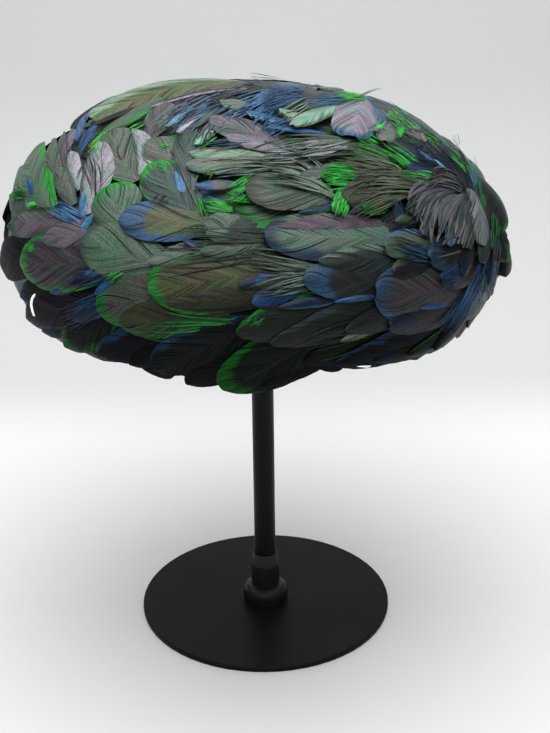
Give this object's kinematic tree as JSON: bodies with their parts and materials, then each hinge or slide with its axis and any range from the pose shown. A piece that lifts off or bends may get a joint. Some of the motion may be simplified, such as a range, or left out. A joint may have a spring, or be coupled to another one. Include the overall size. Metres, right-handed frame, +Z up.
{
  "type": "feathered cocktail hat on a display stand",
  "caption": "Domed cocktail hat covered in overlapping dyed feathers that flow from a whorl at one side, held on a plain black round-based stand.",
  "frame": {"origin": "centre of the flat underside of the stand's disc, where it rests on a table", "axes": "+Z up along the post; +Y towards the back of the hat; +X to the right of its front, the side where the feather whorl is"},
  "size_m": [0.2589, 0.236, 0.2943],
  "materials": {
    "stand_black": "black satin paint on steel",
    "cap_felt": "black felt",
    "edge_feathers": "dyed feather vanes, dark, soft sheen",
    "cover_feathers": "dyed feather vanes, grey-green, soft sheen",
    "whorl_feathers": "dyed feather barbs, silver grey, soft sheen"
  },
  "bodies": {
    "root": {"stand_base": "stand_black", "stand_collar": "stand_black", "stand_post": "stand_black", "stand_head": "stand_black", "hat_cap": "cap_felt", "feather_edge_row": "edge_feathers", "feather_cover": "cover_feathers", "feather_whorl": "whorl_feathers"}
  },
  "joints": []
}
